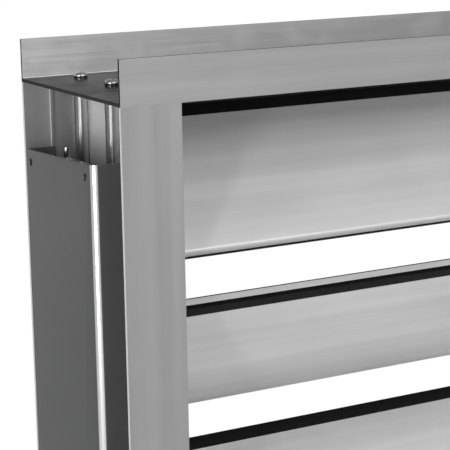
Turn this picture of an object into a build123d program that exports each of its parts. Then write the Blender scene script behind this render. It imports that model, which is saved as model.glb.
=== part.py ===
from build123d import *
from math import cos, radians, sin
import os

# Volume control damper: four opposed aerofoil blades in an aluminium channel frame, with the
# blades ganged by a slotted bar behind a sheet steel cover on the left jamb.
#
# Millimetres.  +X runs along the blades, +Y with the air (front to rear), +Z up.  The origin
# is the centre of the airway in the plane of the front flanges.  The blades stand half open:
# odd blades lean their top edge to the rear, even blades to the front.

# ---------------------------------------------------------------- driving dimensions
# Frame
AIRWAY_WIDTH = 500.0         # clear opening between the jambs
FRAME_DEPTH = 130.0          # front flange face to rear flange face
RAIL_FLANGE = 24.0           # height of the top and bottom rails, from the airway
JAMB_FLANGE = 34.0           # width of the jambs, from the airway
WALL = 2.0                   # frame extrusion wall
ROOT_RADIUS = 0.5            # inside corners of the channels
RIB_FROM_TIP = 16.4          # small rib along the inner face of each jamb flange
RIB_WIDTH = 1.6
RIB_HEIGHT = 1.2

# Screw ports on the outer side of the jamb web, and the corner screws in them
PORT_POSITIONS = (15.0, 73.5, 115.0)
PORT_RADIUS = 4.3
PORT_BORE = 2.1
PORT_SLOT = 2.4
PORT_OFFSET = 2.5            # port axis off the web
SHANK_RADIUS = 2.0
SHANK_LENGTH = 18.0
SHANK_CLEARANCE = 0.3        # shank to the hole in the rail
PAN_RADIUS = 4.0
PAN_HEIGHT = 3.1
PAN_SHOULDER = 1.4            # bevel round the top of the head

# Blades
BLADE_COUNT = 4
BLADE_PITCH = 100.0
BLADE_MARGIN = 2.0           # extra airway height above the first and below the last blade
BLADE_AXIS_Y = 62.0          # pivot line behind the front flange face
BLADE_LAP = 2.0              # each edge laps its neighbour by this much
REST_ANGLE = 45.0            # lean off the closed position
SKIN = 1.6
CROWN = 1.2                  # bulge of each skin over a straight line
SEAL_GAP = 0.3               # seal face to the closing plane
SEAL_WIDTH = 8.2
SEAL_THICKNESS = 2.5
NOSE_THICKNESS = 4.7
LIP_WIDTH = 1.4              # metal lip that ends the seal seat
SHOULDER_END = 35.0          # where the slope behind the lip meets the skin
SHOULDER_HEIGHT = 3.1        # skin off the closing plane at the shoulder
HEEL_START = 42.0            # where the skin turns to the far nose
HEEL_HEIGHT = 8.6            # skin off the closing plane at the heel
BEAD_RADIUS = 1.0            # soft bead in the rear corner of the top nose
HEEL_ROUND = 1.6             # front corner of the bottom nose
BOSS_RADIUS = 7.6            # tube along the pivot line inside the blade

# Shafts and bushes
SHAFT_RADIUS = 5.0
SHAFT_GRIP = 45.0            # length of each shaft inside the blade
RUNNING_FIT = 0.05           # radial clearance of shaft to bush
BUSH_RADIUS = 6.5
BUSH_REACH = 4.0             # bush past the outer face of the web
BUSH_FLANGE_RADIUS = 10.0
BUSH_FLANGE = 1.5
END_PLAY = 0.5
SPINDLE_BLADE = 3            # the driven blade
SPINDLE_RADIUS = 6.0         # driven end of the spindle, outside the cover
SPINDLE_REACH = 45.0         # drive spindle past the flange tips
SPINDLE_OFF_COVER = 1.0      # its shoulder past the cover
SPINDLE_CHAMFER = 1.0

# Linkage: crank pins in the cross slots of one sliding bar
CRANK_THROW = 16.0
CRANK_PLATE = 4.0
CRANK_HUB_RADIUS = 8.6
CRANK_EYE_RADIUS = 6.6
CRANK_FROM_WEB = 9.5         # web to the near face of the crank arms
PIN_RADIUS = 3.5
PIN_TAIL_RADIUS = 3.0
PIN_HEAD_RADIUS = 5.5
PIN_HEAD_HEIGHT = 1.5
SLOT_CLEARANCE = 0.7         # pin to the long sides of its slot
BAR_GAP = 1.5                # crank arm to bar, and bar to pin heads less the play
BAR_PLATE = 3.0
BAR_HALF_WIDTH = 22.8
BAR_END = 11.0               # bar past the first and last pivots
BAR_PLAY = 1.0               # bar to the heads that hold it
BAR_CORNER = 3.0
STUD_HEIGHT = 100.0          # guide studs above and below the middle
STUD_RADIUS = 5.0
STUD_NECK_RADIUS = 3.5
STUD_HEAD_RADIUS = 6.0
STUD_CLEARANCE = 0.35
SPINDLE_CLEARANCE = 0.6
STROKE_MARGIN = 0.6

# Upright coupling stud on an ear of the bar
EAR_REACH = 17.0             # ear behind the bar
EAR_SHELF = 11.0             # bent shelf, from the web side of the bar outwards
EAR_HEIGHT = 14.0
COUPLING_FROM_EDGE = 9.0
COUPLING_RADIUS = 1.5
COUPLING_ABOVE = 8.0
COUPLING_BELOW = 6.0
NUT_FLATS = 5.5
NUT_HEIGHT = 2.4

# Linkage cover
COVER_SHEET = 1.0
COVER_SHORTER = 36.0         # airway end to the end of the cover
COVER_OFF_CRANK = 1.4        # front return to the foremost crank arms
COVER_FRONT = (              # outer face of its front return
    BLADE_AXIS_Y - CRANK_THROW - CRANK_EYE_RADIUS - COVER_OFF_CRANK - COVER_SHEET
)
COVER_BEND = 4.0
COVER_EDGE_BEND = 1.5
COVER_LIP = 17.6             # rear lip, resting on the rib of the rear flange
COVER_TILT = 2.1             # slope of its ends, degrees, higher at the front
COVER_FOOT = 13.0
COVER_HOLE_RADIUS = 2.1
COVER_HOLE_DROP = 7.0
COVER_REAR_HOLE = 5.5        # hole centre from the rear edge
COVER_FRONT_HOLE = 9.5       # hole centre from the front return
SPINDLE_HOLE_RADIUS = 7.0
COVER_SCREW_LENGTH = 5.0

# Stops for the first and last blade
STOP_SHEET = 1.5
STOP_BASE = 11.5
HEAD_STOP_LEG = 9.0
SILL_STOP_LEG = 6.0
STOP_SEAL = 2.2
STOP_SEAL_GAP = 0.6          # seal to the closing plane, or to the closed nose
STOP_END_GAP = 1.0

# ---------------------------------------------------------------- derived places
half_width = AIRWAY_WIDTH / 2
half_height = BLADE_COUNT * BLADE_PITCH / 2 + BLADE_MARGIN
web_face = half_width + WALL
flange_tip = half_width + JAMB_FLANGE
rail_tip = half_height + RAIL_FLANGE
rail_face = half_height + WALL
rear_inner = FRAME_DEPTH - WALL
port_x = web_face + PORT_OFFSET

numbers = range(1, BLADE_COUNT + 1)
half_chord = (BLADE_PITCH + BLADE_LAP) / 2
seat_height = SEAL_GAP + SEAL_THICKNESS
nose_height = seat_height + NOSE_THICKNESS
seal_inner = half_chord - SEAL_WIDTH
lip_inner = seal_inner - LIP_WIDTH
blade_end = half_width - BUSH_FLANGE - END_PLAY
bush_end = web_face + BUSH_REACH

crank_near = web_face + CRANK_FROM_WEB
crank_far = crank_near + CRANK_PLATE
bar_near = crank_far + BAR_GAP
bar_far = bar_near + BAR_PLATE
head_near = bar_far + BAR_PLAY
stroke = CRANK_THROW * sin(radians(REST_ANGLE))
spindle_end = flange_tip + SPINDLE_REACH
cover_half = half_height - COVER_SHORTER
cover_rear = rear_inner - RIB_HEIGHT
cover_middle = (cover_rear + COVER_FRONT) / 2
tilt = radians(COVER_TILT)
cover_foot_y = COVER_FRONT - COVER_FOOT / 2 - COVER_SHEET


def pivot_z(number):
    """Height of a blade's pivot line, blade 1 on top."""
    return half_height - BLADE_MARGIN - BLADE_PITCH * (number - 0.5)


def lean(number):
    """+1 for a blade whose top edge leans to the rear, -1 for one that leans to the front."""
    return 1 if number % 2 else -1


def blade_plane(number, x):
    """Section plane of a blade at rest: x up the chord, y out of its front skin."""
    angle = radians(REST_ANGLE)
    up_chord = (0, lean(number) * sin(angle), cos(angle))
    return Plane(origin=(x, BLADE_AXIS_Y, pivot_z(number)), x_dir=up_chord, z_dir=(1, 0, 0))


def channel_plane(distance):
    """Plane across the left channel, a distance out from the airway centre, facing outward."""
    return Plane(origin=(-distance, 0, 0), x_dir=(0, -1, 0), z_dir=(-1, 0, 0))


def in_channel(y, z):
    """Sketch place on a channel plane of a point at depth y and height z."""
    return (-y, z)


os.makedirs("parts", exist_ok=True)

# ---------------------------------------------------------------- frame
screw_places = [(side * port_x, y) for side in (-1, 1) for y in PORT_POSITIONS]

# Rails: channels on the airway, both flanges standing away from it, drilled for the screws.
for name, up in (("top_rail", 1), ("bottom_rail", -1)):
    with BuildPart() as rail:
        with BuildSketch(Plane.YZ.offset(-flange_tip)) as profile:
            with BuildLine():
                Polyline(
                    (0, up * half_height),
                    (FRAME_DEPTH, up * half_height),
                    (FRAME_DEPTH, up * rail_tip),
                    (rear_inner, up * rail_tip),
                    (rear_inner, up * rail_face),
                    (WALL, up * rail_face),
                    (WALL, up * rail_tip),
                    (0, up * rail_tip),
                    close=True,
                )
            make_face()
            fillet(profile.vertices().group_by(Axis.Y)[1], ROOT_RADIUS)
        extrude(amount=2 * flange_tip)
        with BuildSketch(Plane.XY.offset(up * (rail_face - WALL / 2))):
            with Locations(*screw_places):
                Circle(SHANK_RADIUS + SHANK_CLEARANCE)
        extrude(amount=WALL, both=True, mode=Mode.SUBTRACT)
    rail.part.label = name
    export_step(rail.part, f"parts/{name}.step")

# Jamb extrusion: a deeper channel with three slotted screw ports on its web and a rib along
# each flange.  The left jamb runs from rail to rail.
with BuildSketch() as jamb_profile:
    with BuildLine():
        Polyline(
            (-half_width, 0),
            (-half_width, FRAME_DEPTH),
            (-flange_tip, FRAME_DEPTH),
            (-flange_tip, rear_inner),
            (-web_face, rear_inner),
            (-web_face, WALL),
            (-flange_tip, WALL),
            (-flange_tip, 0),
            close=True,
        )
    make_face()
    fillet(jamb_profile.vertices().group_by(Axis.X)[1], ROOT_RADIUS)
    rib_x = RIB_FROM_TIP - flange_tip
    with Locations((rib_x, WALL), (rib_x, rear_inner)):
        Rectangle(RIB_WIDTH, 2 * RIB_HEIGHT)
    with Locations(*[(-port_x, y) for y in PORT_POSITIONS]):
        Circle(PORT_RADIUS)
    with Locations(*[(-port_x, y) for y in PORT_POSITIONS]):
        Circle(PORT_BORE, mode=Mode.SUBTRACT)
    with Locations(*[(-port_x - PORT_RADIUS, y) for y in PORT_POSITIONS]):
        Rectangle(2 * PORT_RADIUS, PORT_SLOT, mode=Mode.SUBTRACT)

cover_screw_places = [(cover_foot_y, z) for z in (-0.9 * cover_half, 0, 0.9 * cover_half)]
stud_places = [(BLADE_AXIS_Y, z) for z in (-STUD_HEIGHT, STUD_HEIGHT)]
pivot_places = [(BLADE_AXIS_Y, pivot_z(n)) for n in numbers]

with BuildPart() as left_jamb:
    with BuildSketch(Plane.XY.offset(-half_height)):
        add(jamb_profile.sketch)
    extrude(amount=2 * half_height)
    with BuildSketch(channel_plane(half_width)):
        with Locations(*[in_channel(y, z) for y, z in pivot_places]):
            Circle(BUSH_RADIUS)
        with Locations(*[in_channel(y, z) for y, z in stud_places]):
            Circle(STUD_NECK_RADIUS)
        with Locations(*[in_channel(y, z) for y, z in cover_screw_places]):
            Circle(SHANK_RADIUS)
    extrude(amount=WALL, mode=Mode.SUBTRACT)
left_jamb.part.label = "left_jamb"
export_step(left_jamb.part, "parts/left_jamb.step")

# The right jamb is the same extrusion turned about, bored for the idle pins only.
with BuildPart() as right_jamb:
    with BuildSketch(Plane.XY.offset(-half_height)):
        mirror(jamb_profile.sketch, about=Plane.YZ)
    extrude(amount=2 * half_height)
    with BuildSketch(Plane.YZ.offset(half_width)):
        with Locations(*pivot_places):
            Circle(BUSH_RADIUS)
    extrude(amount=WALL, mode=Mode.SUBTRACT)
right_jamb.part.label = "right_jamb"
export_step(right_jamb.part, "parts/right_jamb.step")

# Head of a pan head screw, standing on the origin.
with BuildPart() as pan_head:
    with BuildSketch():
        Circle(PAN_RADIUS)
    extrude(amount=PAN_HEIGHT)
    chamfer(pan_head.edges().group_by(Axis.Z)[-1], PAN_SHOULDER)

for corner, side, up in (
    ("top_left", -1, 1),
    ("top_right", 1, 1),
    ("bottom_left", -1, -1),
    ("bottom_right", 1, -1),
):
    with BuildPart() as corner_screws:
        for y in PORT_POSITIONS:
            seat = Plane(origin=(side * port_x, y, up * rail_face), z_dir=(0, 0, up))
            with Locations(seat):
                add(pan_head.part)
                Cylinder(SHANK_RADIUS, SHANK_LENGTH, align=(Align.CENTER, Align.CENTER, Align.MAX))
    corner_screws.part.label = f"corner_screws_{corner}"
    export_step(corner_screws.part, f"parts/corner_screws_{corner}.step")

# ---------------------------------------------------------------- blades
# Half of the blade outline, from the seal seat in the top nose down the front skin to the far
# nose; the other half is the same turned about the pivot line.
with BuildSketch() as blade_profile:
    with BuildLine() as outline:
        Polyline(
            (half_chord, -seat_height),
            (seal_inner, -seat_height),
            (seal_inner, -SEAL_GAP),
            (lip_inner, -SEAL_GAP),
            (SHOULDER_END, SHOULDER_HEIGHT),
        )
        ThreePointArc(
            (SHOULDER_END, SHOULDER_HEIGHT),
            ((SHOULDER_END - HEEL_START) / 2, (SHOULDER_HEIGHT + HEEL_HEIGHT) / 2 + CROWN),
            (-HEEL_START, HEEL_HEIGHT),
        )
        Polyline((-HEEL_START, HEEL_HEIGHT), (-half_chord, nose_height), (-half_chord, seat_height))
        add(outline.line.rotate(Axis.Z, 180))
    make_face()
    heel_corner = blade_profile.vertices().sort_by_distance((-half_chord, nose_height))[0]
    fillet(heel_corner, HEEL_ROUND)

# Hollow of the blade: inside the skins, between the noses, outside the pivot tube.
with BuildSketch() as blade_hollow:
    add(blade_profile.sketch)
    offset(amount=-SKIN, mode=Mode.REPLACE)
    Rectangle(2 * (HEEL_START - SKIN), 2 * half_chord, mode=Mode.INTERSECT)
    Circle(BOSS_RADIUS, mode=Mode.SUBTRACT)

bead_place = (half_chord - BEAD_RADIUS, BEAD_RADIUS - nose_height)
with BuildSketch() as blade_section:
    add(blade_profile.sketch)
    add(blade_hollow.sketch, mode=Mode.SUBTRACT)
    Circle(SHAFT_RADIUS, mode=Mode.SUBTRACT)
    with Locations((half_chord, -nose_height)):
        Rectangle(2 * BEAD_RADIUS, 2 * BEAD_RADIUS, mode=Mode.SUBTRACT)
    with Locations(bead_place):
        Circle(BEAD_RADIUS, mode=Mode.SUBTRACT)

with BuildSketch() as seal_section:
    with Locations((seal_inner, -seat_height)):
        Rectangle(SEAL_WIDTH, SEAL_THICKNESS, align=Align.MIN)
    with Locations((-seal_inner, seat_height)):
        Rectangle(SEAL_WIDTH, SEAL_THICKNESS, align=Align.MAX)
    with Locations(bead_place):
        Circle(BEAD_RADIUS)

for n in numbers:
    with BuildPart() as blade:
        with BuildSketch(blade_plane(n, -blade_end)):
            add(blade_section.sketch)
        extrude(amount=2 * blade_end)
    blade.part.label = f"blade_{n}"
    export_step(blade.part, f"parts/blade_{n}.step")

    with BuildPart() as seals:
        with BuildSketch(blade_plane(n, -blade_end)):
            add(seal_section.sketch)
        extrude(amount=2 * blade_end)
    seals.part.label = f"blade_{n}_seals"
    export_step(seals.part, f"parts/blade_{n}_seals.step")

# ---------------------------------------------------------------- shafts and bushes
# The left shafts carry the cranks; the one in the driven blade runs on through the cover as
# the spindle, with a thicker end for the quadrant or the actuator.
for n in numbers:
    pivot = in_channel(BLADE_AXIS_Y, pivot_z(n))
    driven = n == SPINDLE_BLADE
    journal_end = flange_tip + SPINDLE_OFF_COVER if driven else crank_far
    with BuildPart() as left_shaft:
        with BuildSketch(channel_plane(blade_end - SHAFT_GRIP)):
            with Locations(pivot):
                Circle(SHAFT_RADIUS)
        extrude(amount=journal_end - blade_end + SHAFT_GRIP)
        if driven:
            with BuildSketch(channel_plane(journal_end)):
                with Locations(pivot):
                    Circle(SPINDLE_RADIUS)
            extrude(amount=spindle_end - journal_end)
            chamfer(left_shaft.edges().group_by(Axis.X)[0], SPINDLE_CHAMFER)
    name = "drive_spindle" if n == SPINDLE_BLADE else f"crank_shaft_{n}"
    left_shaft.part.label = name
    export_step(left_shaft.part, f"parts/{name}.step")

    with BuildPart() as idle_pin:
        with BuildSketch(Plane.YZ.offset(blade_end - SHAFT_GRIP)):
            with Locations((BLADE_AXIS_Y, pivot_z(n))):
                Circle(SHAFT_RADIUS)
        extrude(amount=bush_end - blade_end + SHAFT_GRIP)
    idle_pin.part.label = f"idle_pin_{n}"
    export_step(idle_pin.part, f"parts/idle_pin_{n}.step")

# Flanged bushes, pushed through the jamb webs from the airway.
for n in numbers:
    for side_name, side in (("left", -1), ("right", 1)):
        seat = Plane(
            origin=(side * (half_width - BUSH_FLANGE), BLADE_AXIS_Y, pivot_z(n)),
            z_dir=(side, 0, 0),
        )
        with BuildPart() as bush:
            with BuildSketch(seat):
                Circle(BUSH_FLANGE_RADIUS)
            extrude(amount=BUSH_FLANGE)
            with BuildSketch(seat):
                Circle(BUSH_RADIUS)
            extrude(amount=BUSH_FLANGE + bush_end - half_width)
            with BuildSketch(seat):
                Circle(SHAFT_RADIUS + RUNNING_FIT)
            extrude(amount=BUSH_FLANGE + bush_end - half_width, mode=Mode.SUBTRACT)
        bush.part.label = f"bush_{side_name}_{n}"
        export_step(bush.part, f"parts/bush_{side_name}_{n}.step")

# ---------------------------------------------------------------- linkage
# Crank arms point to the rear on odd blades and to the front on even ones, so that all the
# crank pins rise together.
for n in numbers:
    pivot = in_channel(BLADE_AXIS_Y, pivot_z(n))
    pin = in_channel(BLADE_AXIS_Y + lean(n) * CRANK_THROW, pivot_z(n))

    with BuildPart() as crank_arm:
        with BuildSketch(channel_plane(crank_near)):
            with Locations(pivot):
                Circle(CRANK_HUB_RADIUS)
            with Locations(pin):
                Circle(CRANK_EYE_RADIUS)
            make_hull()
            with Locations(pivot):
                Circle(SHAFT_RADIUS, mode=Mode.SUBTRACT)
            with Locations(pin):
                Circle(PIN_TAIL_RADIUS, mode=Mode.SUBTRACT)
        extrude(amount=CRANK_PLATE)
    crank_arm.part.label = f"crank_arm_{n}"
    export_step(crank_arm.part, f"parts/crank_arm_{n}.step")

    with BuildPart() as crank_pin:
        with BuildSketch(channel_plane(crank_near)):
            with Locations(pin):
                Circle(PIN_TAIL_RADIUS)
        extrude(amount=CRANK_PLATE)
        with BuildSketch(channel_plane(crank_far)):
            with Locations(pin):
                Circle(PIN_RADIUS)
        extrude(amount=head_near - crank_far)
        with BuildSketch(channel_plane(head_near)):
            with Locations(pin):
                Circle(PIN_HEAD_RADIUS)
        extrude(amount=PIN_HEAD_HEIGHT)
    crank_pin.part.label = f"crank_pin_{n}"
    export_step(crank_pin.part, f"parts/crank_pin_{n}.step")

# Sliding bar: a cross slot for each crank pin, upright slots for the two guide studs and the
# spindle, and an ear at the top whose shelf carries the coupling stud.
pin_reach = CRANK_THROW * cos(radians(REST_ANGLE))
slot_length = CRANK_THROW - pin_reach
slot_middle = (CRANK_THROW + pin_reach) / 2
slot_width = 2 * (PIN_RADIUS + SLOT_CLEARANCE)
travel = 2 * (stroke + STROKE_MARGIN)
bar_top = pivot_z(1) + BAR_END
ear_y = BLADE_AXIS_Y + BAR_HALF_WIDTH

with BuildPart() as slide_bar:
    with BuildSketch(channel_plane(bar_near)) as bar_profile:
        with Locations(in_channel(BLADE_AXIS_Y, 0)):
            Rectangle(2 * BAR_HALF_WIDTH, 2 * bar_top)
        fillet(bar_profile.vertices(), BAR_CORNER)
        with Locations(in_channel(ear_y - BAR_CORNER, bar_top)):
            Rectangle(EAR_REACH + BAR_CORNER, EAR_HEIGHT, align=Align.MAX)
        for n in numbers:
            with Locations(in_channel(BLADE_AXIS_Y + lean(n) * slot_middle, pivot_z(n))):
                SlotCenterToCenter(slot_length, slot_width, mode=Mode.SUBTRACT)
        with Locations(*[in_channel(y, z) for y, z in stud_places]):
            stud_slot = 2 * (STUD_NECK_RADIUS + STUD_CLEARANCE)
            SlotCenterToCenter(travel, stud_slot, rotation=90, mode=Mode.SUBTRACT)
        with Locations(in_channel(BLADE_AXIS_Y, pivot_z(SPINDLE_BLADE))):
            spindle_slot = 2 * (SHAFT_RADIUS + SPINDLE_CLEARANCE)
            SlotCenterToCenter(travel, spindle_slot, rotation=90, mode=Mode.SUBTRACT)
    extrude(amount=BAR_PLATE)
    with BuildSketch(channel_plane(bar_near)):
        with Locations(in_channel(ear_y, bar_top)):
            Rectangle(EAR_REACH, BAR_PLATE, align=Align.MAX)
    extrude(amount=EAR_SHELF)
    coupling_x = -bar_near - EAR_SHELF / 2 - BAR_PLATE / 2
    coupling_y = ear_y + EAR_REACH - COUPLING_FROM_EDGE
    with Locations((coupling_x, coupling_y, bar_top)):
        Hole(COUPLING_RADIUS, depth=BAR_PLATE)
slide_bar.part.label = "slide_bar"
export_step(slide_bar.part, "parts/slide_bar.step")

with BuildPart() as coupling_stud:
    with BuildSketch(Plane.XY.offset(bar_top - BAR_PLATE - COUPLING_BELOW)):
        with Locations((coupling_x, coupling_y)):
            Circle(COUPLING_RADIUS)
    extrude(amount=COUPLING_BELOW + BAR_PLATE + COUPLING_ABOVE)
coupling_stud.part.label = "coupling_stud"
export_step(coupling_stud.part, "parts/coupling_stud.step")

with BuildPart() as coupling_nuts:
    for height, direction in ((bar_top, 1), (bar_top - BAR_PLATE, -1)):
        with BuildSketch(Plane.XY.offset(height)):
            with Locations((coupling_x, coupling_y)):
                RegularPolygon(NUT_FLATS / 2, 6, major_radius=False)
                Circle(COUPLING_RADIUS, mode=Mode.SUBTRACT)
        extrude(amount=direction * NUT_HEIGHT)
coupling_nuts.part.label = "coupling_nuts"
export_step(coupling_nuts.part, "parts/coupling_nuts.step")

# Guide studs: riveted into the jamb web, with a neck for the bar and a head outside it.
for name, (y, z) in zip(("guide_stud_lower", "guide_stud_upper"), stud_places):
    with BuildPart() as guide_stud:
        for near, far, radius in (
            (half_width, web_face, STUD_NECK_RADIUS),
            (web_face, bar_near - BAR_PLAY / 2, STUD_RADIUS),
            (bar_near - BAR_PLAY / 2, head_near, STUD_NECK_RADIUS),
            (head_near, head_near + PIN_HEAD_HEIGHT, STUD_HEAD_RADIUS),
        ):
            with BuildSketch(channel_plane(near)):
                with Locations(in_channel(y, z)):
                    Circle(radius)
            extrude(amount=far - near)
    guide_stud.part.label = name
    export_step(guide_stud.part, f"parts/{name}.step")

# ---------------------------------------------------------------- linkage cover
# One folded sheet: a lip along the rear flange, the outer face, a soft front bend, the return
# to the web and a foot screwed to it.
with BuildPart() as linkage_cover:
    with BuildSketch(Plane.XY.offset(-half_height)) as cover_profile:
        with BuildLine() as cover_path:
            FilletPolyline(
                (COVER_LIP - flange_tip, cover_rear),
                (-flange_tip, cover_rear),
                (-flange_tip, COVER_FRONT),
                (-web_face - COVER_SHEET, COVER_FRONT),
                (-web_face - COVER_SHEET, COVER_FRONT - COVER_FOOT),
                radius=[COVER_EDGE_BEND, COVER_BEND, COVER_SHEET],
            )
            offset(amount=COVER_SHEET, side=Side.LEFT)
        make_face()
    extrude(amount=2 * half_height)
    for end, keep in ((cover_half, Keep.BOTTOM), (-cover_half, Keep.TOP)):
        end_cut = Plane(origin=(0, cover_middle, end), z_dir=(0, sin(tilt), cos(tilt)))
        split(bisect_by=end_cut, keep=keep)
    with BuildSketch(channel_plane(flange_tip - 2 * COVER_SHEET)):
        for y in (cover_rear - COVER_REAR_HOLE, COVER_FRONT + COVER_FRONT_HOLE):
            for end in (COVER_HOLE_DROP - cover_half, cover_half - COVER_HOLE_DROP):
                with Locations(in_channel(y, end + (cover_middle - y) * sin(tilt))):
                    Circle(COVER_HOLE_RADIUS)
        with Locations(in_channel(BLADE_AXIS_Y, pivot_z(SPINDLE_BLADE))):
            Circle(SPINDLE_HOLE_RADIUS)
    extrude(amount=3 * COVER_SHEET, mode=Mode.SUBTRACT)
    with BuildSketch(channel_plane(web_face)):
        with Locations(*[in_channel(y, z) for y, z in cover_screw_places]):
            Circle(SHANK_RADIUS)
    extrude(amount=2 * COVER_SHEET, mode=Mode.SUBTRACT)
linkage_cover.part.label = "linkage_cover"
export_step(linkage_cover.part, "parts/linkage_cover.step")

with BuildPart() as cover_screws:
    for y, z in cover_screw_places:
        seat = Plane(origin=(-web_face - COVER_SHEET, y, z), z_dir=(-1, 0, 0))
        with Locations(seat):
            add(pan_head.part)
        with BuildSketch(seat):
            Circle(SHANK_RADIUS)
        extrude(amount=-COVER_SHEET - WALL)
cover_screws.part.label = "cover_screws"
export_step(cover_screws.part, "parts/cover_screws.step")

# ---------------------------------------------------------------- blade stops
# Angles on the rails with a soft strip that the closed first and last blades come up to.
stop_end = half_width - STOP_END_GAP
closed_nose_y = BLADE_AXIS_Y - nose_height
for name, up, leg, seal_face in (
    ("head_stop", 1, HEAD_STOP_LEG, BLADE_AXIS_Y + SEAL_GAP - STOP_SEAL_GAP),
    ("sill_stop", -1, SILL_STOP_LEG, closed_nose_y - STOP_SEAL_GAP - SEAL_GAP),
):
    leg_face = seal_face - STOP_SEAL
    with BuildPart() as stop:
        with BuildSketch(Plane.YZ.offset(-stop_end)):
            with BuildLine():
                Polyline(
                    (leg_face, up * half_height),
                    (leg_face, up * (half_height - leg)),
                    (leg_face - STOP_SHEET, up * (half_height - leg)),
                    (leg_face - STOP_SHEET, up * (half_height - STOP_SHEET)),
                    (leg_face - STOP_BASE, up * (half_height - STOP_SHEET)),
                    (leg_face - STOP_BASE, up * half_height),
                    close=True,
                )
            make_face()
        extrude(amount=2 * stop_end)
    stop.part.label = name
    export_step(stop.part, f"parts/{name}.step")

    with BuildPart() as stop_seal:
        with BuildSketch(Plane.YZ.offset(-stop_end)):
            with BuildLine():
                Polyline(
                    (leg_face, up * (half_height - STOP_SHEET)),
                    (seal_face, up * (half_height - STOP_SHEET)),
                    (seal_face, up * (half_height - leg)),
                    (leg_face, up * (half_height - leg)),
                    close=True,
                )
            make_face()
        extrude(amount=2 * stop_end)
    stop_seal.part.label = f"{name}_seal"
    export_step(stop_seal.part, f"parts/{name}_seal.step")
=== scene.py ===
"""Studio scene of an opposed-blade volume control damper.

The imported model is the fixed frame.  Extrusions, sheet parts and blades are rebuilt from it
with their small edge radii, the fasteners are made here, and every surface gets its finish.
"""

import logging
import math
from dataclasses import dataclass
from enum import Enum
from typing import Any, Iterable, Mapping, Sequence

import bmesh
import bpy
from mathutils import Matrix, Vector


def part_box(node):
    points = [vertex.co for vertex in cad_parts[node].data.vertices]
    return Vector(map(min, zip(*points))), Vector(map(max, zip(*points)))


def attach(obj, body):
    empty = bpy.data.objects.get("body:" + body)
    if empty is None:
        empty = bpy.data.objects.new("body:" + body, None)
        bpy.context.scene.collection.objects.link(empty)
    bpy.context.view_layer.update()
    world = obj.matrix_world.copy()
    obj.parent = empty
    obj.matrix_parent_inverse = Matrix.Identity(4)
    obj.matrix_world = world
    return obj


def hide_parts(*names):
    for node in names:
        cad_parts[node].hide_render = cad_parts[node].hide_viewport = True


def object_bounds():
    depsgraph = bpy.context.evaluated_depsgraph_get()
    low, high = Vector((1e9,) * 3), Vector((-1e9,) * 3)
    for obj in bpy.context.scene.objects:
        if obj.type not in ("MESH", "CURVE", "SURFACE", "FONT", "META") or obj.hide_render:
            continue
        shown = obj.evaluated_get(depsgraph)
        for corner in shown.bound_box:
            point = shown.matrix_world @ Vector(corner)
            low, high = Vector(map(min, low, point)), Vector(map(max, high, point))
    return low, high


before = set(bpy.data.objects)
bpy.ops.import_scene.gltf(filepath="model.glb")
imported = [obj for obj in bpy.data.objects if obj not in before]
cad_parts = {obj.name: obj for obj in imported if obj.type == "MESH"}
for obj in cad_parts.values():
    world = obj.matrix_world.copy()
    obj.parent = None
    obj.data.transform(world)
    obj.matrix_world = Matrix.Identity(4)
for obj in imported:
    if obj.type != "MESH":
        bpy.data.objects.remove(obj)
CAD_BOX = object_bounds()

LOG = logging.getLogger("damper")
FRAME_BODY = "frame"
BLADE_NUMBERS = (1, 2, 3, 4)
DRIVEN_BLADE = 3
MM = 0.001
MIDDLE = (0.3, 0.7)  # where most of a noise lies
WELD = 2e-6  # metres between corners that are one
FLAT_BELOW = 0.6  # degrees between faces that are one
SMOOTH_BELOW = 30.0  # degrees at an edge that is shaded smooth
BROKEN_ABOVE = 38.0  # degrees at an edge that is broken
EDGE_STEPS = 2  # segments across a broken edge

Colour = tuple[float, float, float]
Point = tuple[float, float, float]


class Run(Enum):
    """Direction in which a bar was drawn or rolled, as stretch factors of its lines."""

    ALONG_X = (0.015, 1.0, 1.0)
    ALONG_Z = (1.0, 1.0, 0.015)


# ---------------------------------------------------------------- shader bench
class Value:
    """A shader socket that takes part in Python sums."""

    def __init__(self, bench: "Bench", socket: bpy.types.NodeSocket) -> None:
        """Keeps the socket and the bench it lies on.

        Args:
            bench: The bench that owns the node.
            socket: An output socket that carries one number.
        """
        self.bench = bench
        self.socket = socket

    def __add__(self, other: "Value | float") -> "Value":
        """Sum."""
        return self.bench.maths("ADD", self, other)

    __radd__ = __add__

    def __sub__(self, other: "Value | float") -> "Value":
        """Difference."""
        return self.bench.maths("SUBTRACT", self, other)

    def __rsub__(self, other: float) -> "Value":
        """Difference from a number."""
        return self.bench.maths("SUBTRACT", other, self)

    def __mul__(self, other: "Value | float") -> "Value":
        """Product."""
        return self.bench.maths("MULTIPLY", self, other)

    __rmul__ = __mul__


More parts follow.
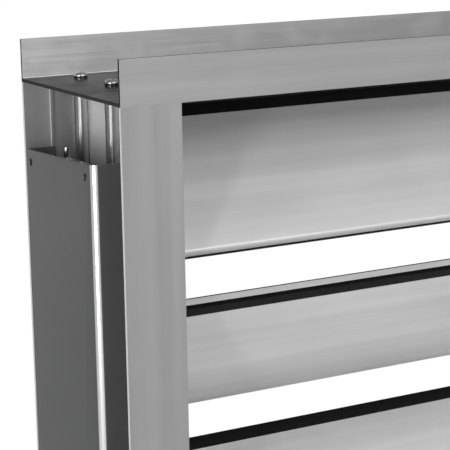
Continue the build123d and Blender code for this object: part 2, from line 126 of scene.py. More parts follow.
class Bench:
    """Lays out the nodes of one shader tree."""

    def __init__(self, tree: bpy.types.NodeTree) -> None:
        """Starts on an empty tree.

        Args:
            tree: The node tree of a material or of the world.
        """
        self.tree = tree
        tree.nodes.clear()

    def node(
        self,
        kind: str,
        settings: Mapping[str, Any] | None = None,
        inputs: Mapping[Any, Any] | None = None,
    ) -> bpy.types.Node:
        """Adds a node.

        Args:
            kind: The node's Blender type.
            settings: Properties that are set before the sockets; stops set a colour ramp.
            inputs: Values or links, by socket name or number.

        Returns:
            The new node.
        """
        made = self.tree.nodes.new(kind)
        for name, setting in (settings or {}).items():
            if name == "stops":
                self._set_stops(made.color_ramp, setting)
            else:
                setattr(made, name, setting)
        for key, given in (inputs or {}).items():
            self.plug(given, made.inputs[key])
        return made

    @staticmethod
    def _set_stops(ramp: bpy.types.ColorRamp, stops: Sequence[tuple[float, float]]) -> None:
        """Fills a grey ramp.

        Args:
            ramp: The ramp to fill.
            stops: Position and grey of each stop, two or more.
        """
        while len(ramp.elements) < len(stops):
            ramp.elements.new(1.0)
        for element, (position, grey) in zip(ramp.elements, stops):
            element.position = position
            element.color = (grey, grey, grey, 1.0)

    def plug(self, given: Any, socket: bpy.types.NodeSocket) -> None:
        """Links or sets one input.

        Args:
            given: A Value, an output socket, a number, a vector or a colour.
            socket: The input that receives it.
        """
        if isinstance(given, Value):
            given = given.socket
        if isinstance(given, bpy.types.NodeSocket):
            self.tree.links.new(given, socket)
        elif socket.type == "RGBA" and len(given) == 3:
            socket.default_value = (*given, 1.0)
        else:
            socket.default_value = given

    def maths(self, operation: str, first: Value | float, second: Value | float) -> Value:
        """Adds a Math node for one expression on values."""
        made = self.node("ShaderNodeMath", {"operation": operation}, {0: first, 1: second})
        return Value(self, made.outputs[0])

    def spread(self, value: Value, low: float, high: float, to: tuple[float, float]) -> Value:
        """Maps a range of a value onto another, clamped.

        Args:
            value: The value to map.
            low: Start of the range it comes from.
            high: End of that range.
            to: Start and end of the range it goes to.

        Returns:
            The mapped value.
        """
        made = self.node(
            "ShaderNodeMapRange",
            {"clamp": True},
            {"Value": value, "From Min": low, "From Max": high, "To Min": to[0], "To Max": to[1]},
        )
        return Value(self, made.outputs["Result"])

    def ripple(self, noise: Value, to: tuple[float, float]) -> Value:
        """Spreads the middle of a noise over a range."""
        return self.spread(noise, *MIDDLE, to)

    def split(self, vector: bpy.types.NodeSocket) -> tuple[Value, Value, Value]:
        """The X, Y and Z parts of a vector."""
        made = self.node("ShaderNodeSeparateXYZ", None, {0: vector})
        x, y, z = (Value(self, made.outputs[axis]) for axis in "XYZ")
        return x, y, z

    def facing(self) -> tuple[Value, Value, Value]:
        """The way in which the surface faces, along the object's axes."""
        return self.split(self.node("ShaderNodeTexCoord").outputs["Normal"])

    def place(self, stretch: Sequence[float] = (1.0, 1.0, 1.0)) -> bpy.types.NodeSocket:
        """The point on the object in metres, stretched along the axes."""
        where = self.node("ShaderNodeTexCoord").outputs["Object"]
        made = self.node("ShaderNodeVectorMath", {"operation": "MULTIPLY"}, {0: where, 1: stretch})
        return made.outputs["Vector"]

    def noise(
        self,
        scale: float,
        stretch: Sequence[float] = (1.0, 1.0, 1.0),
        detail: float = 3.0,
        rough: float = 0.5,
    ) -> Value:
        """Cloudy noise.

        Args:
            scale: Cells per metre.
            stretch: Factor of the scale along each axis.
            detail: Octaves.
            rough: Weight of the fine octaves.

        Returns:
            The noise, from 0 to 1.
        """
        made = self.node(
            "ShaderNodeTexNoise",
            {"noise_dimensions": "3D"},
            {"Vector": self.place(stretch), "Scale": scale, "Detail": detail, "Roughness": rough},
        )
        return Value(self, made.outputs[0])

    def blend(self, share: Value, first: Any, second: Any) -> bpy.types.NodeSocket:
        """Mixes two colours.

        Args:
            share: Share of the second colour.
            first: A colour or a colour socket.
            second: A colour or a colour socket.

        Returns:
            The mixed colour's socket.
        """
        made = self.node(
            "ShaderNodeMix", {"data_type": "RGBA"}, {0: share, 6: first, 7: second}
        )
        return made.outputs[2]

    def bump(self, height: Value, strength: float, distance: float) -> bpy.types.NodeSocket:
        """A normal raised by a height map, with the distance in metres."""
        made = self.node(
            "ShaderNodeBump", None, {"Height": height, "Strength": strength, "Distance": distance}
        )
        return made.outputs["Normal"]


def new_material(name: str, sockets: Mapping[str, Any], bench: Bench) -> None:
    """Ends a bench with a Principled surface.

    Args:
        name: Name used in the log.
        sockets: Principled inputs, by name.
        bench: The bench of the material's tree.
    """
    surface = bench.node("ShaderNodeBsdfPrincipled", None, sockets)
    output = bench.node("ShaderNodeOutputMaterial")
    bench.tree.links.new(surface.outputs[0], output.inputs["Surface"])
    LOG.info("finish %s", name)


def start_material(name: str) -> tuple[bpy.types.Material, Bench]:
    """A fresh node material and the bench of its tree."""
    material = bpy.data.materials.new(name)
    material.use_nodes = True
    return material, Bench(material.node_tree)


# ---------------------------------------------------------------- finishes
@dataclass(frozen=True)
class Zones:
    """Parts of a bar's surface that differ from the rest, as shares from 0 to 1; their colour is
    painted shade or painted light.
    """

    sawn: Value
    top: Value
    under: Value
    rear: Value
    web: Value
    port: Value


@dataclass(frozen=True)
class MillAluminium:
    """Bare extrusion: satin metal with die lines along the bar and handling marks, with painted
    shade on its ends, the upper rail's top and the screw ports, and painted light on its
    underside, rear flange and jamb web.
    """

    name: str
    run: Run
    dark: Colour = (0.29, 0.29, 0.293)
    light: Colour = (0.39, 0.39, 0.393)
    roughness: float = 0.34
    metallic: float = 0.7
    grazing: float = 1.0
    # painted shade: the bar's end faces are coloured near black
    end_painted_shade: Colour = (0.045, 0.045, 0.046)
    # painted shade: the upper rail's upward faces are coloured dark
    top_painted_shade: Colour = (0.12, 0.12, 0.122)
    # painted light: faces turned down are coloured light
    under_painted_light: Colour = (0.85, 0.85, 0.855)
    # painted light: the rear flange is coloured lighter
    rear_painted_light: Colour = (0.6, 0.6, 0.605)
    # painted light: the jamb's sideways web faces are coloured lighter
    web_painted_light: Colour = (0.66, 0.66, 0.665)
    # painted shade: the curved faces of the screw ports are coloured dark
    port_painted_shade: Colour = (0.16, 0.16, 0.162)
    rear_share: float = 0.0
    rear_depths: tuple[float, float] = (0.09, 0.12)
    top_heights: tuple[float, float] = (0.195, 0.2)
    top_polish: float = 0.15
    port_polish: float = 0.25
    sawn_dulling: float = 0.2
    band_scale: float = 75.0
    line_scale: float = 900.0
    mark_scale: float = 16.0
    smear_scale: float = 60.0
    line_depth: float = 0.00006

    def _zones(self, bench: Bench) -> Zones:
        """Finds the bar's ends, top, underside, rear flange, web and screw ports, which get
        painted shade or painted light.

        Args:
            bench: The bench of the material's tree.

        Returns:
            The zones; a bar along X has no web or port zone, one along Z no top or underside.
        """
        rail = self.run is Run.ALONG_X
        on_rail, on_jamb = (0.0, float(rail)), (0.0, float(not rail))
        x, y, z = bench.facing()
        _, depth, height = bench.split(bench.place())
        end = x if rail else z
        across = x * y
        upper = bench.spread(height, *self.top_heights, (0.0, 1.0))
        return Zones(
            sawn=bench.spread(end * end, 0.7, 0.95, (0.0, 1.0)),
            top=upper * bench.spread(z, 0.8, 0.98, on_rail),
            under=bench.spread(z, -0.8, -0.98, on_rail),
            rear=bench.spread(depth, *self.rear_depths, (0.0, self.rear_share)),
            web=bench.spread(x * x, 0.85, 0.99, on_jamb),
            port=bench.spread(across * across, 0.02, 0.15, on_jamb),
        )

    def make(self) -> bpy.types.Material:
        """Builds the material.

        Returns:
            The aluminium, with its lines along the run.
        """
        material, bench = start_material(self.name)
        bands = bench.noise(self.band_scale, self.run.value, 2.0, 0.55)
        lines = bench.noise(self.line_scale, self.run.value, 3.0, 0.6)
        marks = bench.noise(self.mark_scale, detail=5.0, rough=0.6)
        smears = bench.noise(self.smear_scale, (1.0, 2.0, 1.0), 4.0, 0.62)
        tone = (
            bench.spread(bands, 0.32, 0.68, (0.0, 0.52))
            + bench.ripple(lines, (0.0, 0.24))
            + bench.ripple(marks, (0.0, 0.24))
        )
        zones = self._zones(bench)
        colour = bench.blend(tone, self.dark, self.light)
        # painted light on the rear flange, web and underside; painted shade on the upper top,
        # ports and ends
        for share, shade in (
            (zones.rear, self.rear_painted_light),
            (zones.web, self.web_painted_light),
            (zones.top * (1 - 0.35 * tone), self.top_painted_shade),
            (zones.under, self.under_painted_light),
            (zones.port, self.port_painted_shade),
            (zones.sawn, self.end_painted_shade),
        ):
            colour = bench.blend(share, colour, shade)
        dull = bench.spread(smears, 0.45, 0.75, (0.0, 0.07)) + self.sawn_dulling * zones.sawn
        polish = self.top_polish * zones.top + self.port_polish * zones.port
        new_material(
            self.name,
            {
                "Base Color": colour,
                "Metallic": bench.spread(zones.top, 0.0, 1.0, (self.metallic, 1.0)),
                "Roughness": bench.ripple(lines, (-0.05, 0.05)) + dull + self.roughness - polish,
                "Specular Tint": (self.grazing, self.grazing, self.grazing),
                "Normal": bench.bump(lines, 0.35, self.line_depth),
            },
            bench,
        )
        return material


@dataclass(frozen=True)
class GalvanisedSheet:
    """Dull zinc-coated sheet with faint spangle and mottle, with a painted highlight on its fold
    and painted light on its front return.
    """

    name: str
    dark: Colour = (0.03, 0.03, 0.031)
    light: Colour = (0.065, 0.066, 0.067)
    # painted light: the front-facing return is coloured lighter
    return_painted_light: Colour = (0.2, 0.2, 0.203)
    return_share: float = 0.8
    # painted highlight: the fold is coloured light and fully metallic
    fold_painted_highlight: Colour = (0.62, 0.62, 0.625)
    roughness: float = 0.15
    metallic: float = 0.6
    spangle_scale: float = 420.0
    mottle_scale: float = 900.0
    cloud_scale: float = 22.0
    mottle_depth: float = 0.00001

    def make(self) -> bpy.types.Material:
        """Builds the material.

        Returns:
            The galvanised sheet.
        """
        material, bench = start_material(self.name)
        cells = bench.node(
            "ShaderNodeTexVoronoi",
            {"feature": "F1"},
            {"Vector": bench.place(), "Scale": self.spangle_scale, "Randomness": 1.0},
        )
        spangle = Value(bench, cells.outputs["Distance"])
        mottle = bench.noise(self.mottle_scale, (1.0, 1.0, 0.35), 4.0, 0.65)
        clouds = bench.noise(self.cloud_scale, detail=4.0, rough=0.55)
        tone = (
            bench.spread(spangle, 0.0, 0.8, (0.0, 0.3))
            + bench.ripple(mottle, (0.0, 0.45))
            + bench.ripple(clouds, (0.0, 0.25))
        )
        x, y, _ = bench.facing()
        across = x * y
        front_return = bench.spread(y * y, 0.8, 0.95, (0.0, self.return_share))
        fold = bench.spread(across * across, 0.01, 0.1, (0.0, 1.0))
        sheet = bench.blend(tone, self.dark, self.light)
        flat = bench.blend(front_return, sheet, self.return_painted_light)
        new_material(
            self.name,
            {
                "Base Color": bench.blend(fold, flat, self.fold_painted_highlight),
                "Metallic": bench.spread(fold, 0.0, 1.0, (self.metallic, 1.0)),
                "Roughness": bench.ripple(clouds, (-0.02, 0.03)) + self.roughness,
                "Normal": bench.bump(mottle, 0.12, self.mottle_depth),
            },
            bench,
        )
        return material


@dataclass(frozen=True)
class PlatedSteel:
    """Zinc-plated turned or punched steel."""

    name: str
    dark: Colour = (0.38, 0.38, 0.37)
    light: Colour = (0.56, 0.56, 0.55)
    roughness: float = 0.24
    cloud_scale: float = 260.0
    grain_scale: float = 2600.0
    grain_depth: float = 0.00003

    def make(self) -> bpy.types.Material:
        """Builds the material.

        Returns:
            The plated steel.
        """
        material, bench = start_material(self.name)
        clouds = bench.noise(self.cloud_scale, detail=4.0, rough=0.6)
        grain = bench.noise(self.grain_scale, (0.4, 1.0, 1.0), 2.0, 0.5)
        tone = bench.ripple(clouds, (0.0, 0.7)) + bench.ripple(grain, (0.0, 0.3))
        new_material(
            self.name,
            {
                "Base Color": bench.blend(tone, self.dark, self.light),
                "Metallic": 1.0,
                "Roughness": bench.ripple(clouds, (-0.05, 0.08)) + self.roughness,
                "Normal": bench.bump(grain, 0.2, self.grain_depth),
            },
            bench,
        )
        return material


@dataclass(frozen=True)
class SealRubber:
    """Matt black extruded rubber with a dusty bloom."""

    name: str
    black: Colour = (0.001, 0.001, 0.001)
    bloom: Colour = (0.006, 0.006, 0.0062)
    shine: float = 0.1
    dust_scale: float = 90.0
    pore_scale: float = 2400.0
    pore_depth: float = 0.00005

    def make(self) -> bpy.types.Material:
        """Builds the material.

        Returns:
            The rubber.
        """
        material, bench = start_material(self.name)
        dust = bench.noise(self.dust_scale, Run.ALONG_X.value, 4.0, 0.6)
        pores = bench.noise(self.pore_scale, (0.3, 1.0, 1.0), 2.0, 0.5)
        dusty = bench.spread(dust, 0.35, 0.75, (0.0, 1.0))
        new_material(
            self.name,
            {
                "Base Color": bench.blend(dusty, self.black, self.bloom),
                "Roughness": bench.ripple(pores, (0.5, 0.68)),
                "Specular IOR Level": self.shine,
                "Normal": bench.bump(pores, 0.3, self.pore_depth),
            },
            bench,
        )
        return material


@dataclass(frozen=True)
class MouldedNylon:
    """Natural nylon with faint mould texture."""

    name: str
    shade: Colour = (0.62, 0.61, 0.56)
    light: Colour = (0.74, 0.73, 0.68)
    flow_scale: float = 300.0
    grain_scale: float = 3000.0
    grain_depth: float = 0.00003

    def make(self) -> bpy.types.Material:
        """Builds the material.

        Returns:
            The nylon.
        """
        material, bench = start_material(self.name)
        flow = bench.noise(self.flow_scale)
        grain = bench.noise(self.grain_scale, detail=2.0)
        new_material(
            self.name,
            {
                "Base Color": bench.blend(flow, self.shade, self.light),
                "Roughness": bench.ripple(grain, (0.34, 0.46)),
                "Normal": bench.bump(grain, 0.15, self.grain_depth),
            },
            bench,
        )
        return material


# ---------------------------------------------------------------- mesh tools
def coat(piece: bpy.types.Object, material: bpy.types.Material) -> None:
    """Gives one material to a piece or to a CAD node.

    Args:
        piece: The object to dress.
        material: Its finish.
    """
    if not piece.material_slots:
        piece.data.materials.append(material)
    for held in piece.material_slots:
        held.material = material


def add_piece(
    name: str, mesh: bmesh.types.BMesh, smooth_below: float = SMOOTH_BELOW
) -> bpy.types.Object:
    """Turns a bmesh into an object in the scene.

    Args:
        name: Name of the piece.
        mesh: Its faces, in metres; it is freed.
        smooth_below: Edges under this angle, in degrees, are shaded smooth.

    Returns:
        The new object.
    """
    data = bpy.data.meshes.new(name)
    mesh.normal_update()
    mesh.to_mesh(data)
    mesh.free()
    piece = bpy.data.objects.new(name, data)
    bpy.context.scene.collection.objects.link(piece)
    data.shade_smooth()
    data.set_sharp_from_angle(angle=math.radians(smooth_below))
    return piece


def softened(node: str, radius: float) -> bpy.types.Object:
    """A copy of a CAD node with its sharp edges broken, standing for that node.

    Args:
        node: Name of the CAD node.
        radius: Width of the broken edge in metres.

    Returns:
        The new piece, not yet riding on a body.
    """
    mesh = bmesh.new()
    mesh.from_mesh(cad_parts[node].data)
    bmesh.ops.remove_doubles(mesh, verts=mesh.verts, dist=WELD)
    bmesh.ops.dissolve_limit(
        mesh, angle_limit=math.radians(FLAT_BELOW), verts=mesh.verts, edges=mesh.edges
    )
    piece = add_piece(f"{node}_finished", mesh)
    edge = piece.modifiers.new("broken_edge", "BEVEL")
    edge.width = radius
    edge.segments = EDGE_STEPS
    edge.limit_method = "ANGLE"
    edge.angle_limit = math.radians(BROKEN_ABOVE)
    edge.use_clamp_overlap = True
    edge.harden_normals = True
    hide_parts(node)
    return piece


def lathe(profile: Sequence[tuple[float, float]], turns: int) -> bmesh.types.BMesh:
    """Turns a profile about Z.

    Args:
        profile: Radius and height of each point; a radius of 0 closes an end.
        turns: Steps round the axis.

    Returns:
        The turned form.
    """
    mesh = bmesh.new()
    points = [mesh.verts.new((radius, 0.0, height)) for radius, height in profile]
    edges = [mesh.edges.new(pair) for pair in zip(points, points[1:])]
    bmesh.ops.spin(
        mesh,
        geom=[*points, *edges],
        cent=(0, 0, 0),
        axis=(0, 0, 1),
        angle=2 * math.pi,
        steps=turns,
        use_merge=True,
    )
    bmesh.ops.remove_doubles(mesh, verts=mesh.verts, dist=1e-6)
    bmesh.ops.recalc_face_normals(mesh, faces=mesh.faces)
    return mesh


def merge(target: bmesh.types.BMesh, source: bpy.types.Mesh, placing: Matrix) -> None:
    """Adds a mesh to a bmesh at a place.

    Args:
        target: The growing form.
        source: The mesh to add.
        placing: Where it goes.
    """
    first = len(target.verts)
    target.from_mesh(source)
    target.verts.ensure_lookup_table()
    bmesh.ops.transform(target, matrix=placing, verts=target.verts[first:])


# ---------------------------------------------------------------- fasteners
@dataclass
class PanScrew:
    """Thread-forming screw with a domed head and a cross recess, sizes in metres."""

    head_radius: float = 4.0 * MM
    head_height: float = 3.0 * MM
    core_radius: float = 1.55 * MM
    crest_radius: float = 1.98 * MM
    pitch: float = 1.4 * MM
    recess_span: float = 4.5 * MM
    recess_width: float = 1.05 * MM
    recess_depth: float = 1.9 * MM
    round_steps: int = 40
    crown_steps: int = 8

    def _profile(self, length: float) -> list[tuple[float, float]]:
        """Outline of head and threaded shank, from the point up to the crown."""
        outline = [(0.0, -length), (self.core_radius * 0.75, -length)]
        threads = int((length - 0.5 * MM) / self.pitch)
        for turn in range(threads):
            low = -length + turn * self.pitch
            outline += [
                (self.core_radius, low + 0.35 * self.pitch),
                (self.crest_radius, low + 0.55 * self.pitch),
                (self.crest_radius, low + 0.65 * self.pitch),
                (self.core_radius, low + 0.9 * self.pitch),
            ]
        outline += [(self.core_radius, 0.0), (self.head_radius * 0.97, 0.0)]
        side = 0.3 * self.head_height
        outline.append((self.head_radius, side))
        rise = self.head_height - side
        for step in range(1, self.crown_steps + 1):
            angle = step * math.pi / 2 / self.crown_steps
            outline.append(
                (self.head_radius * math.cos(angle) ** 0.62, side + rise * math.sin(angle))
            )
        outline.append((0.0, self.head_height))
        return outline

    def _cutter(self) -> bpy.types.Object:
        """Two crossed, tapered wings that cut the recess."""
        mesh = bmesh.new()
        for turn in range(2):
            wing = bmesh.ops.create_cube(mesh, size=1.0)["verts"]
            for corner in wing:
                deep = corner.co.z < 0
                corner.co.x *= self.recess_span * (0.55 if deep else 1.0)
                corner.co.y *= self.recess_width * (0.75 if deep else 1.0)
                corner.co.z = self.head_height + (-self.recess_depth if deep else 1.0 * MM)
            bmesh.ops.rotate(
                mesh, verts=wing, matrix=Matrix.Rotation(turn * math.pi / 2, 3, "Z")
            )
        return add_piece("recess_cutter", mesh)

    def make(self, length: float) -> bpy.types.Mesh:
        """Builds one screw, head up from the origin.

        Args:
            length: Shank under the head.

        Returns:
            The screw's mesh.
        """
        blank = add_piece("screw_blank", lathe(self._profile(length), self.round_steps), 40.0)
        cutter = self._cutter()
        cut = blank.modifiers.new("recess", "BOOLEAN")
        cut.object = cutter
        cut.operation = "DIFFERENCE"
        cut.use_self = True
        graph = bpy.context.evaluated_depsgraph_get()
        made = bpy.data.meshes.new_from_object(blank.evaluated_get(graph))
        for spent in (blank, cutter):
            bpy.data.objects.remove(spent)
        return made

    def fit(
        self,
        name: str,
        node: str,
        length: float,
        seats: Iterable[Matrix],
        steel: bpy.types.Material,
    ) -> bpy.types.Object:
        """Puts a screw on each seat, as one piece that stands for a CAD node.

        Args:
            name: Name of the piece.
            node: The CAD node of these screws.
            length: Shank under the head.
            seats: Placing of each screw.
            steel: Their finish.

        Returns:
            The piece.
        """
        single = self.make(length)
        group = bmesh.new()
        for seat in seats:
            merge(group, single, seat)
        piece = add_piece(name, group, 35.0)
        coat(piece, steel)
        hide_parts(node)
        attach(piece, FRAME_BODY)
        return piece


# ---------------------------------------------------------------- sub-assemblies
@dataclass
class Shop:
    """The finishes, one of each."""

    rail: bpy.types.Material
    jamb: bpy.types.Material
    stop: bpy.types.Material
    blade: bpy.types.Material
    sheet: bpy.types.Material
    steel: bpy.types.Material
    screw: bpy.types.Material
    rubber: bpy.types.Material
    nylon: bpy.types.Material

    @classmethod
    def stock(cls) -> "Shop":
        """Makes every finish."""
        return cls(
            rail=MillAluminium(
                # rear_share turns on the painted light on the rear flange
                "mill_aluminium_rail", Run.ALONG_X, grazing=0.25, rear_share=1.0
            ).make(),
            # painted shade: the jamb's tone is a little darker than the rail's
            jamb=MillAluminium(
                "mill_aluminium_jamb",
                Run.ALONG_Z,
                (0.26, 0.26, 0.263),
                (0.35, 0.35, 0.353),
                roughness=0.48,
            ).make(),
            # painted shade: the stops are coloured near black
            stop=MillAluminium(
                "aluminium_stop_painted_shade",
                Run.ALONG_X,
                (0.05, 0.05, 0.051),
                (0.09, 0.09, 0.091),
                roughness=0.5,
            ).make(),
            # painted light: the blades are a much lighter copy of the frame's aluminium
            blade=MillAluminium(
                "blade_aluminium",
                Run.ALONG_X,
                (0.54, 0.54, 0.544),
                (0.7, 0.7, 0.705),
                roughness=0.42,
                metallic=0.55,
                under_painted_light=(0.62, 0.62, 0.625),
                line_depth=0.00003,
            ).make(),
            sheet=GalvanisedSheet("galvanised_sheet").make(),
            steel=PlatedSteel("plated_steel").make(),
            screw=PlatedSteel("bright_zinc", (0.3, 0.3, 0.295), (0.45, 0.45, 0.44), 0.13).make(),
            rubber=SealRubber("seal_rubber").make(),
            nylon=MouldedNylon("natural_nylon").make(),
        )


@dataclass
class ChannelFrame:
    """Rails, jambs, stops and the screws at the corners."""

    shop: Shop
    edge: float = 0.18 * MM
    seal_lip: float = 1.2 * MM
    lip_band: float = 0.1 * MM
    web_sheet: float = 2.0 * MM
    screw_length: float = 18.0 * MM

    def _extrusion(self, node: str, material: bpy.types.Material) -> None:
        """Finishes one extruded bar."""
        bar = softened(node, self.edge)
        coat(bar, material)
        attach(bar, FRAME_BODY)
        LOG.info("piece %s", bar.name)

    def _stop_seal(self, node: str) -> None:
        """Finishes one stop's seal, whose soft lip stands past the edge of the sheet."""
        low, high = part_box(node)
        seal = softened(node, self.edge)
        inner = low.z if low.z > 0 else high.z
        for vertex in seal.data.vertices:
            if abs(vertex.co.z - inner) < self.lip_band:
                vertex.co.z -= math.copysign(self.seal_lip, inner)
        coat(seal, self.shop.rubber)
        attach(seal, FRAME_BODY)

    def _seats(self, node: str) -> list[Matrix]:
        """Seat of each screw of one corner, from the CAD node's shells."""
        low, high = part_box(node)
        up = 1.0 if low.z > 0 else -1.0
        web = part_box("top_rail" if up > 0 else "bottom_rail")
        face = (web[0].z + self.web_sheet) if up > 0 else (web[1].z - self.web_sheet)
        x = (low.x + high.x) / 2
        seats = []
        for index, y in enumerate(shell_centres(node, 1)):
            turn = Matrix.Rotation(0.5 + 1.1 * index + 0.7 * up + x * 3, 4, "Z")
            flip = Matrix.Identity(4) if up > 0 else Matrix.Rotation(math.pi, 4, "X")
            seats.append(Matrix.Translation((x, y, face)) @ flip @ turn)
        return seats

    def build(self) -> None:
        """Makes and dresses the frame's pieces."""
        for node in ("top_rail", "bottom_rail"):
            self._extrusion(node, self.shop.rail)
        for node in ("left_jamb", "right_jamb"):
            self._extrusion(node, self.shop.jamb)
        for node in ("head_stop", "sill_stop"):
            self._extrusion(node, self.shop.stop)
            self._stop_seal(f"{node}_seal")
        screw = PanScrew()
        for corner in ("top_left", "top_right", "bottom_left", "bottom_right"):
            node = f"corner_screws_{corner}"
            piece = screw.fit(
                f"pan_screws_{corner}", node, self.screw_length, self._seats(node), self.shop.screw
            )
            LOG.info("piece %s", piece.name)


def shell_centres(node: str, axis: int) -> list[float]:
    """Middle of each separate solid of a node along one axis.

    Args:
        node: Name of the CAD node.
        axis: 0, 1 or 2 for X, Y or Z.

    Returns:
        The middles in rising order, in metres.
    """
    places = sorted(vertex.co[axis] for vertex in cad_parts[node].data.vertices)
    groups = [[places[0]]]
    for place in places[1:]:
        if place - groups[-1][-1] > 3 * MM:
            groups.append([])
        groups[-1].append(place)
    return [(group[0] + group[-1]) / 2 for group in groups]


@dataclass
class Blade:
    """One aerofoil blade with its seals, shafts and bushes."""

    number: int
    shop: Shop
    edge: float = 0.2 * MM

    @property
    def body(self) -> str:
        """Name of the blade's body."""
        return f"blade_{self.number}"

    def build(self) -> None:
        """Makes and dresses the blade's pieces."""
        skin = softened(f"blade_{self.number}", self.edge)
        coat(skin, self.shop.blade)
        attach(skin, self.body)
        coat(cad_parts[f"blade_{self.number}_seals"], self.shop.rubber)
        driven = self.number == DRIVEN_BLADE
        shaft = "drive_spindle" if driven else f"crank_shaft_{self.number}"
        for node in (shaft, f"idle_pin_{self.number}"):
            coat(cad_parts[node], self.shop.steel)
        for side in ("left", "right"):
            coat(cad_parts[f"bush_{side}_{self.number}"], self.shop.nylon)
        LOG.info("piece %s", skin.name)


@dataclass
class SlideBarLinkage:
    """Crank arms and pins, the slotted bar and its studs."""

    shop: Shop
    edge: float = 0.25 * MM

    def build(self) -> None:
        """Makes and dresses the linkage."""
        bar = softened("slide_bar", self.edge)
        coat(bar, self.shop.steel)
        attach(bar, "slide_bar")
        for number in BLADE_NUMBERS:
            coat(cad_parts[f"crank_arm_{number}"], self.shop.steel)
            coat(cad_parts[f"crank_pin_{number}"], self.shop.steel)
        for node in ("guide_stud_lower", "guide_stud_upper"):
            coat(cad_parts[node], self.shop.steel)
        for node in ("coupling_stud", "coupling_nuts"):
            coat(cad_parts[node], self.shop.screw)
        LOG.info("piece %s", bar.name)


@dataclass
class LinkageCover:
    """The folded sheet over the linkage, and the screws at its foot."""

    shop: Shop
    edge: float = 0.2 * MM
    screw_length: float = 3.0 * MM

    def build(self) -> None:
        """Makes and dresses the cover."""
        sheet = softened("linkage_cover", self.edge)
        coat(sheet, self.shop.sheet)
        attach(sheet, FRAME_BODY)
        low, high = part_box("cover_screws")
        seat_x = high.x - self.screw_length
        y = (low.y + high.y) / 2
        outward = Matrix.Rotation(-math.pi / 2, 4, "Y")
        seats = [
            Matrix.Translation((seat_x, y, z)) @ outward @ Matrix.Rotation(0.4 + z * 9, 4, "Z")
            for z in shell_centres("cover_screws", 2)
        ]
        screws = PanScrew().fit(
            "cover_pan_screws", "cover_screws", self.screw_length, seats, self.shop.screw
        )
        LOG.info("pieces %s, %s", sheet.name, screws.name)


# ---------------------------------------------------------------- studio
@dataclass(frozen=True)
class Softbox:
    """A square area lamp that looks at a point."""

    name: str
    place: Point
    aim: Point
    width: float
    height: float
    watts: float

    def hang(self) -> None:
        """Adds the lamp."""
        lamp = bpy.data.lights.new(self.name, "AREA")
        lamp.shape = "RECTANGLE"
        lamp.size = self.width
        lamp.size_y = self.height
        lamp.energy = self.watts
        holder = bpy.data.objects.new(self.name, lamp)
        holder.location = self.place
        way = Vector(self.aim) - Vector(self.place)
        holder.rotation_euler = way.to_track_quat("-Z", "Y").to_euler()
        bpy.context.scene.collection.objects.link(holder)


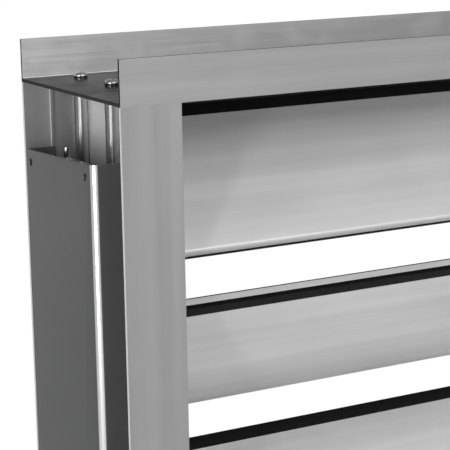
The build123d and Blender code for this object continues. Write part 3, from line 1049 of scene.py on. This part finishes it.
@dataclass
class Studio:
    """Floor, surroundings, lamps and camera."""

    floor_radius: float = 12.0
    shadow_from: float = 0.42
    shadow_to: float = 0.62
    mirror_to: float = 1.9
    mirrored_glow: tuple[float, float] = (0.12, 0.6)
    room_dim: Colour = (0.34, 0.34, 0.34)
    room_bright: Colour = (0.8, 0.8, 0.8)
    camera_place: Point = (-0.6225, -0.7268, 0.3130)
    yaw: float = 28.59
    pitch: float = 12.05
    roll: float = -0.97
    lens: float = 130.72

    def _floor(self) -> None:
        """A pale disc under the object that keeps its shadow."""
        mesh = bmesh.new()
        bmesh.ops.create_circle(mesh, cap_ends=True, radius=self.floor_radius, segments=96)
        bmesh.ops.translate(mesh, verts=mesh.verts, vec=(0, 0, CAD_BOX[0].z - 0.0005))
        floor = add_piece("studio_floor", mesh)
        material, bench = start_material("studio_floor")
        where = bench.node("ShaderNodeTexCoord").outputs["Object"]
        length = bench.node("ShaderNodeVectorMath", {"operation": "LENGTH"}, {0: where})
        span = Value(bench, length.outputs["Value"])
        far = bench.spread(span, self.shadow_from, self.shadow_to, (0.0, 1.0))
        mirrored = bench.spread(span, self.shadow_from, self.mirror_to, self.mirrored_glow)
        ray = bench.node("ShaderNodeLightPath")
        seen = (
            Value(bench, ray.outputs["Is Camera Ray"])
            + Value(bench, ray.outputs["Is Glossy Ray"]) * mirrored
            + Value(bench, ray.outputs["Is Transmission Ray"])
        )
        share = bench.maths("MINIMUM", seen, 1.0) * far
        paint = bench.node("ShaderNodeBsdfDiffuse", None, {"Color": (0.86, 0.86, 0.86)})
        glow = bench.node("ShaderNodeEmission", None, {"Color": (1.0, 1.0, 1.0), "Strength": 1.0})
        mixed = bench.node(
            "ShaderNodeMixShader", None, {0: share, 1: paint.outputs[0], 2: glow.outputs[0]}
        )
        output = bench.node("ShaderNodeOutputMaterial")
        bench.tree.links.new(mixed.outputs[0], output.inputs["Surface"])
        coat(floor, material)

    def _surroundings(self) -> None:
        """A soft room: bright towards the front and its right, dim behind."""
        world = bpy.data.worlds.new("studio")
        world.use_nodes = True
        bpy.context.scene.world = world
        bench = Bench(world.node_tree)
        along, back, _ = bench.split(bench.node("ShaderNodeTexCoord").outputs["Generated"])
        front = bench.spread(back, 0.45, -0.5, (0.0, 0.6))
        right = bench.spread(along, 0.3, 0.8, (0.0, 0.4)) * front
        colour = bench.blend(front + right, self.room_dim, self.room_bright)
        backdrop = bench.node("ShaderNodeBackground", None, {"Color": colour, "Strength": 1.0})
        output = bench.node("ShaderNodeOutputWorld")
        bench.tree.links.new(backdrop.outputs[0], output.inputs["Surface"])

    def _camera(self) -> None:
        """A long lens above and left of the object, looking down on its upper left corner."""
        yaw, pitch, roll = (math.radians(a) for a in (self.yaw, self.pitch, self.roll))
        ahead = Vector(
            (math.sin(yaw) * math.cos(pitch), math.cos(yaw) * math.cos(pitch), -math.sin(pitch))
        )
        level = Vector((math.cos(yaw), -math.sin(yaw), 0.0))
        above = level.cross(ahead)
        right = level * math.cos(roll) + above * math.sin(roll)
        up = above * math.cos(roll) - level * math.sin(roll)
        data = bpy.data.cameras.new("studio_camera")
        data.sensor_width = 36.0
        data.lens = self.lens
        camera = bpy.data.objects.new("studio_camera", data)
        turn = Matrix((right, up, -ahead)).transposed().to_4x4()
        camera.matrix_world = Matrix.Translation(self.camera_place) @ turn
        bpy.context.scene.collection.objects.link(camera)
        bpy.context.scene.camera = camera

    def build(self) -> None:
        """Sets up the studio."""
        self._floor()
        self._surroundings()
        self._camera()
        for lamp in (
            Softbox("strip_left", (-1.44, -0.45, 0.1), (-0.28, 0.04, 0.0), 0.1, 1.0, 7.0),
            Softbox("strip_front", (-1.2, -0.82, 0.1), (-0.28, 0.04, 0.0), 0.12, 1.0, 8.0),
            Softbox("front_softbox", (0.3, -2.6, 1.3), (0.0, 0.0, 0.0), 2.4, 0.9, 30.0),
        ):
            lamp.hang()
        bpy.context.scene.view_settings.view_transform = "Standard"


def main() -> None:
    """Builds the damper's pieces, then the studio."""
    logging.basicConfig(level=logging.INFO)
    shop = Shop.stock()
    ChannelFrame(shop).build()
    for number in BLADE_NUMBERS:
        Blade(number, shop).build()
    SlideBarLinkage(shop).build()
    LinkageCover(shop).build()
    Studio().build()


if __name__ == "__main__":
    main()
